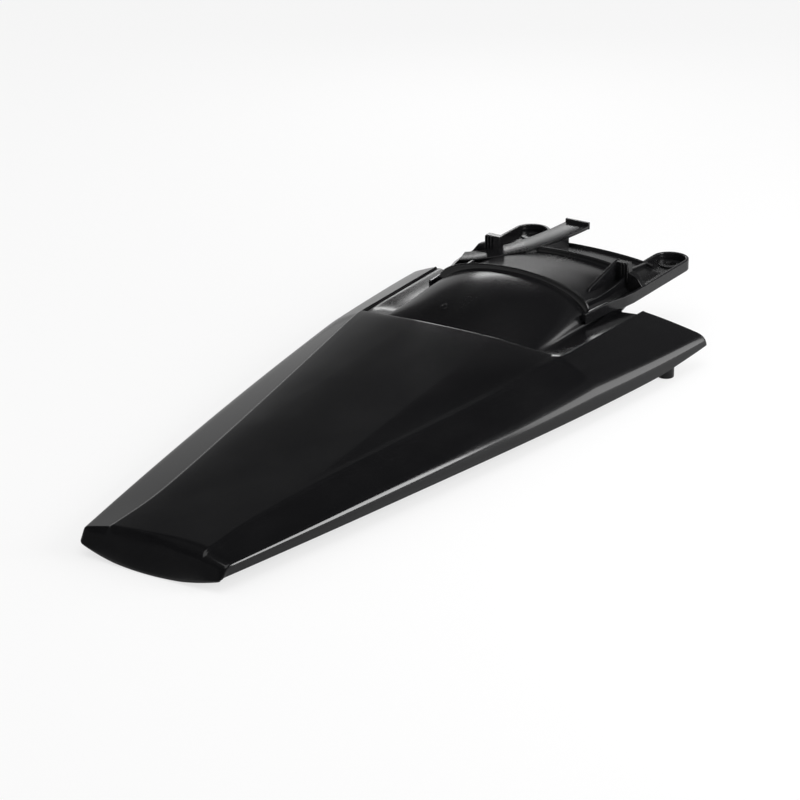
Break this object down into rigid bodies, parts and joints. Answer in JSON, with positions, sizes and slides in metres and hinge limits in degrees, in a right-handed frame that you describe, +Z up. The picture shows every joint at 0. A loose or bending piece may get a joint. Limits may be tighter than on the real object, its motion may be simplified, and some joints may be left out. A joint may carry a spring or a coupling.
{
  "type": "motorcycle rear fender",
  "caption": "One-piece moulded rear fender for an off-road motorcycle: tapering deck with rolled sides, domed wheel tunnel, mounting arms and a seat tongue.",
  "frame": {"origin": "centre of the fender's box, at the level of the tail's lower edge and of the two bosses' ends", "axes": "+Y towards the front of the motorcycle, +X to the rider's right, +Z up"},
  "size_m": [0.263, 0.6154, 0.0714],
  "materials": {
    "plastic": "glossy black moulded plastic"
  },
  "bodies": {
    "root": {"rear_fender": "plastic"}
  },
  "joints": []
}
